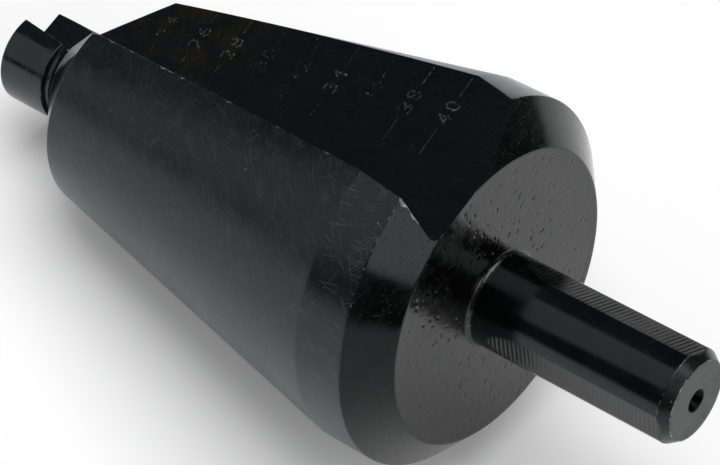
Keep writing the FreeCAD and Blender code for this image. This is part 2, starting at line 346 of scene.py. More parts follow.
@dataclass(frozen=True)
class Flute:
    """The straight V flute, given by its section and by where its root enters and leaves."""

    front_radius: float = 1.6
    front_angle: float = 76.0
    exit_radius: float = 16.2
    exit_angle: float = 116.4
    length: float = 65.4
    rake_angle: float = 91.5
    back_angle: float = 12.6
    root_fillet: float = 0.7
    rake_points: int = 9
    back_points: int = 13
    fillet_points: int = 4
    arc_points: int = 110
    edge_steps: tuple[float, ...] = (0.1, 0.3, 0.7, 1.4)
    patch_from: float = 8.2
    patch_to: float = 14.1
    patch_reach: float = 4.8
    patch_fade: float = 2.4
    soft_wear: float = 0.032
    wear_swing: float = 0.015
    edge_bare: float = 0.42
    front_bare: float = 0.2
    front_bare_until: float = 38.0
    front_bare_fade: float = 12.0
    nick_bare: float = 0.5
    corner_share: float = 0.28
    beside_edge: float = 0.85
    heel_bare: float = 0.45
    heel_bare_outside: float = 0.4
    heel_bare_inside: float = 0.3
    most_rake_wear: float = 0.4
    most_heel_wear: float = 0.3
    chips: tuple[EdgeChip, ...] = (
        EdgeChip(14.5, 0.7, 0.16), EdgeChip(17.4, 0.35, 0.2), EdgeChip(20.9, 0.3, 0.08),
        EdgeChip(26.1, 0.4, 0.2), EdgeChip(27.3, 0.5, 0.12), EdgeChip(29.3, 0.3, 0.15),
        EdgeChip(36.7, 0.4, 0.13), EdgeChip(44.2, 0.3, 0.07), EdgeChip(51.6, 0.4, 0.08),
        EdgeChip(62.1, 0.55, 0.42), EdgeChip(63.2, 0.6, 0.16),
    )

    def apex(self, station: float) -> Array:
        """Where the two walls would meet at this station, without the root's fillet."""
        front = self.front_radius * direction(self.front_angle)
        back = self.exit_radius * direction(self.exit_angle)
        return front + (back - front) * station / self.length

    def wear_at(self, station: float, seed: int) -> float:
        """How far an edge is worn back at this station."""
        soft = self.soft_wear + self.wear_swing * noise.noise(Vector((station / 1.3, seed * 3.7, 0.0)))
        if seed == 1:
            for chip in self.chips:
                soft += chip.depth * math.exp(-((station - chip.station) / (chip.length / 2)) ** 2)
        return soft

    def bare_at(self, station: float) -> float:
        """How bare the cutting edge is here: most near the front and in its nicks."""
        fading = (self.front_bare_until - station) / self.front_bare_fade
        bare = self.edge_bare + self.front_bare * max(0.0, min(1.0, fading))
        nicks = sum(self.nick_bare * math.exp(-((station - chip.station) / chip.length) ** 2)
                    for chip in self.chips)
        return min(1.0, bare + nicks)

    def ring(self, station: float, radius: float, travel: float) -> tuple[Array, ...]:
        """One section through the head: a circle with the flute taken out of it.

        Args:
            station: where along the axis.
            radius: the circle's radius there.
            travel: the length along the turned profile, for the texture place.

        Returns:
            The points, their edge wear, the texture places at the start and at the end of
            each strip, and for each strip whether it is on the flute.
        """
        apex = self.apex(station)
        rake, back = direction(self.rake_angle), direction(self.back_angle)
        half = math.radians(self.rake_angle - self.back_angle) / 2
        tangent = self.root_fillet / math.tan(half)
        centre = apex + (rake + back) / np.linalg.norm(rake + back) * self.root_fillet / math.sin(half)

        def crossings(way: Array) -> tuple[float, float]:
            """Distances from the apex at which a wall enters and leaves the circle."""
            middle = float(apex @ way)
            spread = math.sqrt(max(middle**2 - float(apex @ apex) + radius**2, 0.0))
            return -middle - spread, -middle + spread

        rake_out = crossings(rake)[1]
        back_in, back_out = crossings(back)
        back_from = max(tangent, back_in)
        has_rake = rake_out > tangent and np.linalg.norm(apex + rake * tangent) < radius
        fillet_from = math.radians(self.rake_angle + 90)
        fillet_to = math.radians(self.back_angle + 270)
        if has_rake:
            corner, rake_from = apex + rake * rake_out, tangent
        elif back_from > tangent:
            corner, fillet_from = apex + back * back_from, fillet_to
        else:
            gap = radius**2 - float(centre @ centre) - self.root_fillet**2
            share = gap / (2 * self.root_fillet * np.linalg.norm(centre))
            swing = math.acos(max(-1.0, min(1.0, share)))
            towards = math.atan2(centre[1], centre[0])
            options = [(towards + sign * swing) % math.tau for sign in (-1, 1)]
            inside = [angle for angle in options if fillet_from - 1e-6 <= angle <= fillet_to + 1e-6]
            fillet_from = min(inside, default=fillet_to)
            corner = centre + self.root_fillet * np.array([math.cos(fillet_from), math.sin(fillet_from)])
        rake_worn = 0.0
        if has_rake:
            rake_worn = min(self.wear_at(station, 1), self.most_rake_wear * (rake_out - tangent))
        heel_worn = min(self.wear_at(station, 2), self.most_heel_wear * (back_out - back_from))
        rake_angle = math.atan2(corner[1], corner[0])
        heel = apex + back * back_out
        heel_angle = math.atan2(heel[1], heel[0]) + math.tau

        bare = self.bare_at(station)
        points: list[Array] = []
        places: list[tuple[float, float]] = []
        wear: list[float] = []

        def put(point: Array, place: tuple[float, float], worn: float = 0.0) -> None:
            """Adds a point with its texture place and its wear."""
            points.append(point)
            places.append(place)
            wear.append(worn)

        for share in np.linspace(0, 1, self.rake_points):
            if has_rake:
                reach = rake_from + (rake_out - rake_worn - rake_from) * share
                worn = self.beside_edge * bare if share == 1 else 0.0
                put(apex + rake * reach, (station, -reach), worn)
            else:
                put(corner, (station, 0.0))
        inwards = -corner / np.linalg.norm(corner)
        broken = corner + (inwards - rake) * self.corner_share * rake_worn
        put(broken, (station, -rake_out), bare if has_rake else 0.0)

        length = radius * (heel_angle - rake_angle) - rake_worn - heel_worn
        steps = [0.0, *self.edge_steps]
        reaches = [rake_worn + step for step in steps]
        near, far = rake_worn + steps[-1], rake_worn + length - steps[-1]
        reaches += list(np.linspace(near, far, self.arc_points)[1:-1])
        reaches += [rake_worn + length - step for step in reversed(steps)]
        for number, reach in enumerate(reaches):
            angle = rake_angle + reach / radius
            worn = 0.0
            if number == 0:
                worn = self.beside_edge * bare
            elif number == len(reaches) - 1:
                worn = self.heel_bare_outside
            if self.patch_from < station < self.patch_to:
                worn = max(worn, min(1.0, (self.patch_reach - reach) / self.patch_fade))
            place = (travel, radius * (angle - 1.5 * math.pi))
            put(radius * np.array([math.cos(angle), math.sin(angle)]), place, worn)
        first_arc, last_arc = self.rake_points + 1, len(points) - 1
        inwards = -heel / np.linalg.norm(heel)
        put(heel + (inwards - back) * self.corner_share * heel_worn, (station, back_out), self.heel_bare)
        for share in np.linspace(0, 1, self.back_points):
            reach = back_out - heel_worn + (back_from - back_out + heel_worn) * share
            put(apex + back * reach, (station, reach), self.heel_bare_inside if share == 0 else 0.0)
        for share in np.linspace(1, 0, self.fillet_points + 2)[1:-1]:
            angle = fillet_from + (fillet_to - fillet_from) * share
            spot = centre + self.root_fillet * np.array([math.cos(angle), math.sin(angle)])
            put(spot if fillet_from < fillet_to else corner, (station, tangent * (2 * share - 1)))

        begin = np.array(places)
        end = np.roll(begin, -1, axis=0)
        on_flute = np.ones(len(points), bool)
        on_flute[first_arc - 1 : last_arc + 1] = False
        begin[first_arc - 1] = (travel, begin[first_arc, 1] - rake_worn)
        end[last_arc] = (travel, begin[last_arc, 1] + heel_worn)
        flat = np.column_stack([np.full(len(points), station), np.array(points)])
        return flat, np.array(wear), begin, end, on_flute


@dataclass
class CutterHead:
    """Pilot, neck, front bevel, cone, band and rear bevel, with the flute, and the forged rear face."""

    flute: Flute = field(default_factory=Flute)
    corners: list[Corner] = field(default_factory=lambda: [
        Corner(0.0, 3.6, 0.0, Surface.PILOT, 0.7),
        Corner(0.0, 5.3, 0.1, Surface.PILOT, 0.5, 0.5),
        Corner(6.3, 5.3, 0.09, Surface.PILOT, 0.5, 0.5),
        Corner(6.3, 4.9, 0.0, Surface.PILOT, 0.3),
        Corner(7.2, 4.9, 0.8, Surface.FRONT_BEVEL, 0.3),
        Corner(14.2, 11.998, 0.14, Surface.CONE, 0.3, 0.45),
        Corner(56.4, 19.998, 0.6, Surface.BAND, 0.34, 0.12),
        Corner(61.9, 19.998, 0.16, Surface.REAR_BEVEL, 0.2, 0.45),
        Corner(65.4, 16.0, 0.25, Surface.REAR_FACE, 0.2, 0.3),
        Corner(65.4, 15.72, 0.0, Surface.REAR_FACE, 0.3),
    ])
    rear_station: float = 65.4
    chord: float = 15.7325
    chord_gap: float = 0.12
    chord_side: float = 0.9
    rim: float = 15.62
    base_radius: float = 5.62
    face_columns: int = 480
    face_rings: int = 48
    relief: float = 0.05
    bevel_relief: float = 0.03
    broad_share: float = 0.2
    gouge_from: float = 0.46
    gouge_most: float = 0.3
    gouge_gain: float = 5.0
    grain_gain: float = 0.45

    def add_to(self, shell: Shell) -> Array:
        """Adds the head to the shell.

        Args:
            shell: the mesh that is being collected.

        Returns:
            The point numbers of the rear face's inner ring, round the shank's base.
        """
        rows, strips = rounded_profile(self.corners)
        travel = travel_along(rows)
        rings = [self.flute.ring(row[0], row[1], travel[number]) for number, row in enumerate(rows)]
        points, edges, begin, end, on_flute = (np.array(part) for part in zip(*rings))
        wear = np.array([np.maximum(edge, row[2] * ~self.on_wall(flute))
                         for edge, flute, row in zip(edges, on_flute, rows)])
        points = self.roughen_bevel(points, rows)
        numbers = shell.add_points(points, wear)
        surfaces = np.array([np.where(flute, Surface.FLUTE.value, strip.value)
                             for flute, strip in zip(on_flute, strips)])
        shell.add_rings(numbers, begin, end, surfaces)
        self.add_front_face(shell, points[0], numbers[0])
        return self.add_rear_face(shell, numbers[-1])

    @staticmethod
    def on_wall(on_flute: Array) -> Array:
        """Which points lie inside the flute, and not on the turned surface."""
        return on_flute & np.roll(on_flute, 1)

    def roughen_bevel(self, points: Array, rows: Array) -> Array:
        """Gives the rear bevel the shallow unevenness that forging left, pushed inwards only."""
        shaped = points.copy()
        start, stop = self.corners[7].station, self.corners[8].station
        for number, row in enumerate(rows):
            share = (row[0] - start) / (stop - start)
            if not 0.05 < share < 1.0:
                continue
            uneven = (1 + rough_field(points[number], 0.9, 4, 3)) / 2
            depth = self.bevel_relief * min(1.0, share / 0.2) * uneven
            radius = np.linalg.norm(points[number][:, 1:], axis=1)
            outer = radius > row[1] - 0.01
            shaped[number][outer, 1:] *= (1 - depth[outer] / radius[outer])[:, None]
        return shaped

    def add_front_face(self, shell: Shell, ring: Array, numbers: Array) -> None:
        """Closes the flat front of the pilot with smaller copies of its outline."""
        shares = np.array([0.35, 0.7])
        inner = ring[None] * shares[:, None, None]
        inner[..., 0] = ring[0, 0]
        rings = np.concatenate([shell.add_points(inner), numbers[None]])
        places = np.concatenate([inner, ring[None]])[..., 1:]
        surfaces = np.full((len(rings) - 1, len(ring)), Surface.PILOT.value)
        shell.add_rings(rings, places, np.roll(places, -1, axis=1), surfaces)
        centre = int(shell.add_points(np.array([[ring[0, 0], 0.0, 0.0]]))[0])
        shell.close_front(rings[0], centre, Surface.PILOT, places[0])

    def add_rear_face(self, shell: Shell, rim_numbers: Array) -> Array:
        """Adds the forged rear face, with its relief in the mesh.

        Args:
            shell: the mesh that is being collected.
            rim_numbers: the head's last ring, which the face joins.

        Returns:
            The point numbers of the inner ring.
        """
        angles = np.linspace(0, math.tau, self.face_columns, endpoint=False)
        away = np.cos(angles - math.radians(self.flute.back_angle + 90))
        chord_reach = (self.chord - self.chord_gap) / np.maximum(away, self.chord_side)
        reach = np.where(away > self.chord_side, np.minimum(self.rim, chord_reach), self.rim)
        shares = np.linspace(0, 1, self.face_rings)[:, None]
        radius = reach * (1 - shares) + self.base_radius * shares
        flat = np.stack([radius * np.cos(angles), radius * np.sin(angles)], axis=-1)
        height = self.face_relief(flat.reshape(-1, 2)).reshape(radius.shape)
        edge = np.minimum((reach - radius) / 0.5, (radius - self.base_radius) / 0.5)
        height *= np.clip(edge, 0, 1)
        points = np.concatenate([self.rear_station + height[..., None], flat], axis=-1)
        numbers = shell.add_points(points)
        surfaces = np.full((self.face_rings - 1, self.face_columns), Surface.REAR_FACE.value)
        shell.add_rings(numbers, flat, np.roll(flat, -1, axis=1), surfaces)
        shell.zip_rings(rim_numbers, numbers[0], Surface.REAR_FACE)
        return numbers[-1]

    def face_relief(self, flat: Array) -> Array:
        """Height of the forged face, never above its flat plane.

        Args:
            flat: places on the face, as Y and Z.

        Returns:
            Heights in millimetres, zero or less.
        """
        along, across = flat @ direction(44), flat @ direction(134)
        broad = rough_field(flat, 2.6, 7)
        gouges = rough_field(np.column_stack([along / 2.4, across]), 0.34, 8, 3)
        grain = rough_field(np.column_stack([along / 2.0, across]), 0.17, 9)
        gouged = np.clip(gouges - self.gouge_from, 0, self.gouge_most) * self.gouge_gain
        deep = gouged + np.clip(grain, 0, 1) * self.grain_gain
        return -self.relief * (self.broad_share - self.broad_share * broad) - self.relief * deep


@dataclass
class Shank:
    """The round shank with its milled flats, end chamfer, end face and centre hole."""

    radius: float = 5.0
    flat_angles: tuple[float, ...] = (60.0, 180.0, 300.0)
    flat_depth: float = 0.3
    cutter_radius: float = 40.0
    cutter_clearance: float = 0.1
    runout_begin: float = 66.8
    ridge_pitch: float = 0.5
    ridge_heights: tuple[float, ...] = (0.012, 0.03, 0.02)
    runout_ridge: float = 0.075
    runout_end: float = 71.2
    runout_fade: float = 1.2
    flat_columns: int = 9
    land_columns: int = 18
    corners: list[Corner] = field(default_factory=lambda: [
        Corner(65.4, 5.56, 0.0, Surface.REAR_FACE, 0.1),
        Corner(65.4, 5.0, 0.5, Surface.SHANK, 0.0833, 0.44),
        Corner(87.9, 5.0, 0.08, Surface.END_FACE, 0.15, 0.55),
        Corner(89.0, 4.25, 0.1, Surface.END_FACE, 0.5, 0.6),
        Corner(89.0, 1.25, 0.05, Surface.HOLE, 0.2, 0.3),
        Corner(87.874, 0.6, 0.0, Surface.HOLE, 0.4),
        Corner(86.0, 0.6, 0.0, Surface.HOLE, 0.4),
        Corner(85.64, 0.02, 0.0, Surface.HOLE, 0.4),
    ])

    def depth_at(self, station: float) -> float:
        """How deep the milled flats are at this station, with the cutter's round run-out."""
        drop = self.cutter_radius - self.flat_depth - self.cutter_clearance
        begin = self.runout_begin + math.sqrt(self.cutter_radius**2 - drop**2)
        if station >= begin:
            return self.flat_depth
        rise = math.sqrt(max(self.cutter_radius**2 - (begin - station) ** 2, 0.0))
        return self.flat_depth - self.cutter_radius + rise

    def ridge_at(self, station: float, number: int) -> float:
        """Height of the feed ridges that the cutter left on one of the flats."""
        phase = station / self.ridge_pitch + 0.31 * number
        wave = 1 - abs(math.sin(math.pi * phase))
        near = max(0.0, min(1.0, (self.runout_end - station) / self.runout_fade))
        uneven = 0.7 + 0.6 * noise.noise(Vector((math.floor(phase) * 0.37, number * 5.1, 2.0)))
        low = self.ridge_heights[number]
        return wave * uneven * (low + (self.runout_ridge - low) * near)

    def ring(self, station: float, radius: float, travel: float) -> tuple[Array, ...]:
        """One section through the shank.

        Args:
            station: where along the axis.
            radius: the round parts' radius there.
            travel: the length along the turned profile, for the texture place.

        Returns:
            The points, the texture places at the start and at the end of each strip, and for
            each strip whether it is on a flat.
        """
        depth = self.depth_at(station) if station > self.runout_begin else 0.0
        half = math.acos(1 - max(depth, 0.012) / self.radius)
        angles: list[float] = []
        on_flat: list[bool] = []
        which: list[int] = []
        for number, middle in enumerate(self.flat_angles):
            centre = math.radians(middle)
            after = math.radians(middle + 360 / len(self.flat_angles))
            angles += list(np.linspace(centre - half, centre + half, self.flat_columns))
            angles += list(np.linspace(centre + half, after - half, self.land_columns + 2)[1:-1])
            on_flat += [True] * (self.flat_columns - 1) + [False] * (self.land_columns + 1)
            which += [number] * (self.flat_columns + self.land_columns)
        points, begin = [], []
        for angle, number in zip(angles, which):
            reach = radius
            if depth > 0:
                away = math.cos(angle - math.radians(self.flat_angles[number]))
                across = self.radius * math.sin(angle - math.radians(self.flat_angles[number]))
                if away > 0.5:
                    height = self.radius - depth + self.ridge_at(station + 0.06 * across, number)
                    reach = min(radius, height / away)
            points.append([station, reach * math.cos(angle), reach * math.sin(angle)])
            begin.append([travel, self.radius * angle])
        end = np.roll(np.array(begin), -1, axis=0)
        end[-1, 1] += math.tau * self.radius
        return np.array(points), np.array(begin), end, np.array(on_flat) & (depth > 0)

    def add_to(self, shell: Shell, base_ring: Array) -> None:
        """Adds the shank to the shell, joined to the rear face.

        Args:
            shell: the mesh that is being collected.
            base_ring: point numbers of the rear face's inner ring.
        """
        rows, strips = rounded_profile(self.corners)
        travel = travel_along(rows)
        rings = [self.ring(row[0], row[1], travel[number]) for number, row in enumerate(rows)]
        points, begin, end, on_flat = (np.array(part) for part in zip(*rings))
        wear = np.repeat(rows[:, 2:3], points.shape[1], axis=1)
        numbers = shell.add_points(points, wear)
        surfaces = np.array([np.where(flat & (strip is Surface.SHANK), Surface.FLAT.value, strip.value)
                             for flat, strip in zip(on_flat, strips)])
        shell.add_rings(numbers, begin, end, surfaces)
        centre = int(shell.add_points(np.array([[rows[-1, 0], 0.0, 0.0]]))[0])
        shell.close_back(numbers[-1], centre, Surface.HOLE, begin[-1])
        shell.zip_rings(base_ring, numbers[0], Surface.REAR_FACE)


@dataclass
class ScaleMarks:
    """The diameter scale on the flute's back wall: two ticks and a number every second millimetre."""

    flute: Flute = field(default_factory=Flute)
    first: int = 24
    last: int = 40
    every: int = 2
    first_station: float = 15.6
    last_station: float = 56.0
    cone_begin: float = 14.2
    cone_end: float = 56.4
    first_radius: float = 12.0
    last_radius: float = 20.0
    edge_gap: float = 0.3
    tick_width: float = 0.11
    lower_tick: float = 3.0
    digit_width: float = 1.15
    digit_height: float = 1.85
    digit_pitch: float = 1.62
    narrow_one: float = 0.55
    first_depth: float = 2.4
    depth_step: float = 0.2
    deepest_after: int = 8
    tick_gap: float = 0.2
    shortest_tick: float = 0.45
    tick_clarity: float = 1.1
    lean: float = 0.06
    proud: float = 0.012
    usual_clarity: float = 0.4
    clarity: dict[int, float] = field(default_factory=lambda: {
        24: 0.5, 26: 0.7, 28: 0.6, 34: 0.55, 38: 0.6, 40: 0.7})

    def number_depth(self, mark: int) -> float:
        """How far the second digit's middle lies from the wall's outer edge."""
        return self.first_depth + self.depth_step * min(mark - self.first, self.deepest_after)

    def wall_axes(self) -> tuple[Array, Array, Array]:
        """The wall's own axes: outwards across it, up the numbers, and away from the metal."""
        run = self.flute.apex(self.flute.length) - self.flute.apex(0)
        lengthwise = np.array([self.flute.length, *run])
        outwards = np.array([0.0, *direction(self.flute.back_angle)])
        away = np.cross(outwards, -lengthwise)
        away /= np.linalg.norm(away)
        return outwards, np.cross(away, outwards), away

    def edge_point(self, station: float) -> Array:
        """The wall's outer edge at this station."""
        share = (station - self.cone_begin) / (self.cone_end - self.cone_begin)
        radius = self.first_radius + (self.last_radius - self.first_radius) * share
        apex, way = self.flute.apex(station), direction(self.flute.back_angle)
        middle = float(apex @ way)
        reach = -middle + math.sqrt(middle**2 - float(apex @ apex) + radius**2)
        return np.array([station, *(apex + way * reach)])

    def digit_outline(self, digit: str) -> tuple[Array, Faces]:
        """Takes the faces of one digit from the built-in letters.

        Args:
            digit: a single figure.

        Returns:
            Its points about its own middle in millimetres, and its faces.
        """
        letters = bpy.data.curves.new("digit", "FONT")
        letters.body = digit
        letters.resolution_u = 3
        holder = add_object("digit", letters)
        shaped = holder.evaluated_get(bpy.context.evaluated_depsgraph_get())
        mesh = bpy.data.meshes.new_from_object(shaped)
        points = np.array([vertex.co[:2] for vertex in mesh.vertices])
        faces = [tuple(face.vertices) for face in mesh.polygons]
        bpy.data.objects.remove(holder)
        bpy.data.curves.remove(letters)
        bpy.data.meshes.remove(mesh)
        low, high = points.min(axis=0), points.max(axis=0)
        width = self.digit_width * (self.narrow_one if digit == "1" else 1.0)
        return (points - (low + high) / 2) / (high - low) * np.array([width, self.digit_height]), faces

    def build(self, name: str, placement: Placement) -> bpy.types.Object:
        """Makes the scale as one thin piece on the wall.

        Args:
            name: the object's name.
            placement: how the bit lies in the row frame.

        Returns:
            The new object, linked to the scene.
        """
        outwards, upwards, away = self.wall_axes()
        points: list[Array] = []
        faces: Faces = []
        clarity: list[float] = []

        def put(flat: Array, new_faces: Faces, origin: Array, clear: float) -> None:
            """Lays flat shapes on the wall, at this place on it."""
            start = sum(len(block) for block in points)
            leant = flat[:, 1:] + self.lean * flat[:, :1]
            points.append(origin + flat[:, :1] * outwards + leant * upwards + self.proud * away)
            faces.extend(tuple(number + start for number in face) for face in new_faces)
            clarity.extend([clear] * len(flat))

        def tick(near: float, far: float) -> Array:
            """The corners of a tick between two distances from the edge."""
            half = self.tick_width / 2
            return np.array([[-far, -half], [-near, -half], [-near, half], [-far, half]])

        for mark in range(self.first, self.last + 1, self.every):
            share = (mark - self.first) / (self.last - self.first)
            station = self.first_station + (self.last_station - self.first_station) * share
            edge = self.edge_point(station)
            clear = self.clarity.get(mark, self.usual_clarity)
            depth = self.number_depth(mark)
            square = [(0, 1, 2, 3)]
            tick_clear = self.tick_clarity * clear
            put(tick(self.edge_gap, depth - self.digit_width), square, edge, tick_clear)
            inner = depth + self.digit_pitch + self.digit_width + self.tick_gap
            length = self.lower_tick * (self.shortest_tick + (1 - self.shortest_tick) * share)
            put(tick(inner, inner + length), square, edge, tick_clear)
            for place, digit in enumerate(reversed(str(mark))):
                outline, digit_faces = self.digit_outline(digit)
                shift = np.array([depth + place * self.digit_pitch, 0.0])
                put(outline - shift, digit_faces, edge, clear)
        mesh = bpy.data.meshes.new(name)
        mesh.from_pydata(placement.to_row(np.concatenate(points)).tolist(), [], faces)
        strength = mesh.attributes.new("clarity", "FLOAT", "POINT")
        strength.data.foreach_set("value", np.array(clarity, np.float32))
        return add_object(name, mesh)


class Wiring:
    """Adds nodes to one node tree and joins them."""

    def __init__(self, tree: Tree) -> None:
        """Starts on an empty or fresh tree."""
        self.tree = tree

    def add(self, kind: str, inputs: Inputs | None = None, **settings: object) -> bpy.types.Node:
        """Adds a node.

        Args:
            kind: the node's type, without its leading word.
            inputs: a value or a socket for each named or numbered input.
            **settings: the node's own settings.

        Returns:
            The new node.
        """
        node = self.tree.nodes.new("ShaderNode" + kind)
        for name, value in settings.items():
            setattr(node, name, value)
        for name, value in (inputs or {}).items():
            self.feed(node.inputs[name], value)
        return node

    def feed(self, target: Socket, value: object) -> None:
        """Joins a socket to an input, or sets the input's own value."""
        if isinstance(value, bpy.types.NodeSocket):
            self.tree.links.new(value, target)
        elif target.type == "RGBA" and isinstance(value, tuple) and len(value) == 3:
            target.default_value = (*value, 1.0)
        else:
            target.default_value = value

    def math(self, operation: str, *values: object, clamp: bool = False) -> Socket:
        """A math node's result."""
        node = self.add("Math", dict(enumerate(values)), operation=operation, use_clamp=clamp)
        return node.outputs[0]

    def vector(self, operation: str, *values: object) -> Socket:
        """A vector math node's result."""
        return self.add("VectorMath", dict(enumerate(values)), operation=operation).outputs[0]

    def turn(self, place: Socket, degrees: float) -> Socket:
        """A place turned about the third axis."""
        inputs = {"Vector": place, "Angle": math.radians(degrees)}
        return self.add("VectorRotate", inputs, rotation_type="Z_AXIS").outputs[0]

    def millimetres(self, solid: Socket) -> Socket:
        """A place on the object, in millimetres."""
        return self.vector("MULTIPLY", solid, (1 / METRES,) * 3)

    def ramp(self, value: object, low: object, high: object, start: object = 0.0,
             stop: object = 1.0) -> Socket:
        """Moves a value smoothly from one range to another, and holds it there."""
        inputs = {"Value": value, "From Min": low, "From Max": high, "To Min": start, "To Max": stop}
        return self.add("MapRange", inputs, interpolation_type="SMOOTHSTEP").outputs["Result"]

    def mix(self, share: object, first: object, second: object, blend: str = "MIX") -> Socket:
        """A mix of two colours."""
        node = self.add("Mix", data_type="RGBA", blend_type=blend)
        for number, value in ((0, share), (6, first), (7, second)):
            self.feed(node.inputs[number], value)
        return node.outputs[2]

    def noise(self, place: object, scale: object, detail: float = 2.0, roughness: float = 0.5) -> Socket:
        """A noise texture's value."""
        inputs = {"Vector": place, "Scale": scale, "Detail": detail, "Roughness": roughness}
        return self.add("TexNoise", inputs).outputs[0]

    def group(self, tree: Tree, **inputs: object) -> bpy.types.Node:
        """Places a shared group, with its inputs by name and spaces written as underscores."""
        node = self.add("Group", node_tree=tree)
        for name, value in inputs.items():
            self.feed(node.inputs[name.replace("_", " ")], value)
        return node


def start_material(name: str) -> tuple[bpy.types.Material, Wiring, bpy.types.Node]:
    """Makes a material, and gives it with its wiring and its shader."""
    made = bpy.data.materials.new(name)
    made.use_nodes = True
    return made, Wiring(made.node_tree), made.node_tree.nodes["Principled BSDF"]


class Kind(Enum):
    """The kinds of socket that the shared groups have."""

    NUMBER = "NodeSocketFloat"
    COLOUR = "NodeSocketColor"
    VECTOR = "NodeSocketVector"


class Effects:
    """The shared effects, each a node group that is built once."""

    def __init__(self) -> None:
        """Builds every group."""
        self.tone = self.build_tone()
        self.scratches = self.build_scratches()
        self.lines = self.build_lines()
        self.specks = self.build_specks()
        self.edge_wear = self.build_edge_wear()

    @staticmethod
    def begin(name: str, inputs: dict[str, Kind],
              outputs: dict[str, Kind]) -> tuple[Wiring, bpy.types.NodeOutputs, bpy.types.NodeInputs]:
        """Starts a group.

        Args:
            name: the group's name.
            inputs: the kind of each named input.
            outputs: the kind of each named output.

        Returns:
            The wiring of the new tree, what the group is given, and what it gives.
        """
        tree = bpy.data.node_groups.new(name, "ShaderNodeTree")
        for label, kind in inputs.items():
            tree.interface.new_socket(label, in_out="INPUT", socket_type=kind.value)
        for label, kind in outputs.items():
            tree.interface.new_socket(label, in_out="OUTPUT", socket_type=kind.value)
        given, result = tree.nodes.new("NodeGroupInput"), tree.nodes.new("NodeGroupOutput")
        return Wiring(tree), given.outputs, result.inputs

    def build_tone(self) -> Tree:
        """Cloudy change of tone, as blackening leaves it."""
        wiring, given, result = self.begin(
            "oxide_tone",
            {"Place": Kind.VECTOR, "Scale": Kind.NUMBER, "Deep": Kind.COLOUR, "Light": Kind.COLOUR},
            {"Color": Kind.COLOUR, "Mask": Kind.NUMBER})
        broad = wiring.noise(given["Place"], given["Scale"], 4.0, 0.55)
        finer = wiring.noise(given["Place"], wiring.math("MULTIPLY", given["Scale"], 6.3), 3.0, 0.6)
        both = wiring.math("MULTIPLY_ADD", finer, 0.35, wiring.math("MULTIPLY", broad, 0.65))
        mask = wiring.ramp(both, 0.36, 0.66)
        wiring.feed(result["Mask"], mask)
        wiring.feed(result["Color"], wiring.mix(mask, given["Deep"], given["Light"]))
        return wiring.tree

    def build_scratches(self) -> Tree:
        """Hair-thin handling scratches that lie in a few directions."""
        wiring, given, result = self.begin(
            "fine_scratches", {"Place": Kind.VECTOR, "Share": Kind.NUMBER, "Width": Kind.NUMBER},
            {"Mask": Kind.NUMBER})
        bend = wiring.noise(given["Place"], 0.35, 1.0)
        sway = wiring.add("CombineXYZ", {"Y": wiring.math("MULTIPLY", bend, 0.6)}).outputs[0]
        wide = wiring.math("DIVIDE", 1.0, given["Width"])
        size = wiring.add("CombineXYZ", {"X": 0.32, "Y": wide, "Z": 1.0}).outputs[0]
        total: Socket | None = None
        for number, degrees in enumerate((14.0, 61.0, 128.0, 163.0)):
            turned = wiring.turn(given["Place"], degrees)
            swayed = wiring.vector("MULTIPLY", wiring.vector("ADD", turned, sway), size)
            moved = wiring.vector("ADD", swayed, (number * 7.7, number * 3.1, 0.0))
            cells = wiring.noise(moved, 1.0, 0.0)
            gate = wiring.math("SUBTRACT", 0.83, wiring.math("MULTIPLY", given["Share"], 0.2))
            line = wiring.ramp(cells, gate, wiring.math("ADD", gate, 0.05))
            total = line if total is None else wiring.math("MAXIMUM", total, line)
        wiring.feed(result["Mask"], total)
        return wiring.tree

    def build_lines(self) -> Tree:
        """Fine lines of a tool or a wheel, which run along the second texture axis."""
        wiring, given, result = self.begin(
            "tool_lines", {"Place": Kind.VECTOR, "Pitch": Kind.NUMBER, "Length": Kind.NUMBER},
            {"Height": Kind.NUMBER, "Mask": Kind.NUMBER})
        across = wiring.math("DIVIDE", 1.0, given["Pitch"])
        along = wiring.math("DIVIDE", 1.0, given["Length"])
        size = wiring.add("CombineXYZ", {"X": across, "Y": along, "Z": 0.0}).outputs[0]
        place = wiring.vector("MULTIPLY", given["Place"], size)
        fine = wiring.noise(place, 1.0, 3.0, 0.7)
        broad = wiring.noise(place, 0.23, 2.0, 0.5)
        wiring.feed(result["Height"], wiring.math("MULTIPLY_ADD", broad, 0.5, fine))
        wiring.feed(result["Mask"], wiring.ramp(fine, 0.56, 0.74))
        return wiring.tree

    def build_specks(self) -> Tree:
        """Scattered small pits or chips with ragged outlines."""
        wiring, given, result = self.begin(
            "specks", {"Place": Kind.VECTOR, "Spacing": Kind.NUMBER, "Share": Kind.NUMBER},
            {"Mask": Kind.NUMBER})
        size = wiring.math("DIVIDE", 1.0, given["Spacing"])
        finer = wiring.math("MULTIPLY", size, 3.5)
        ragged = wiring.add("TexNoise", {"Vector": given["Place"], "Scale": finer})
        moved = wiring.vector("MULTIPLY", ragged.outputs[1], (0.5, 0.5, 0.5))
        inputs = {0: given["Place"], "Scale": size}
        scaled = wiring.add("VectorMath", inputs, operation="SCALE").outputs[0]
        place = wiring.vector("ADD", scaled, moved)
        cell = wiring.add("TexVoronoi", {"Vector": place, "Scale": 1.0})
        random = wiring.add("SeparateColor", {"Color": cell.outputs["Color"]}).outputs[0]
        chosen = wiring.math("LESS_THAN", random, given["Share"])
        reach = wiring.math("MULTIPLY_ADD", random, 0.35, 0.12)
        inside = wiring.ramp(wiring.math("SUBTRACT", reach, cell.outputs["Distance"]), 0.0, 0.08)
        wiring.feed(result["Mask"], wiring.math("MULTIPLY", chosen, inside))
        return wiring.tree

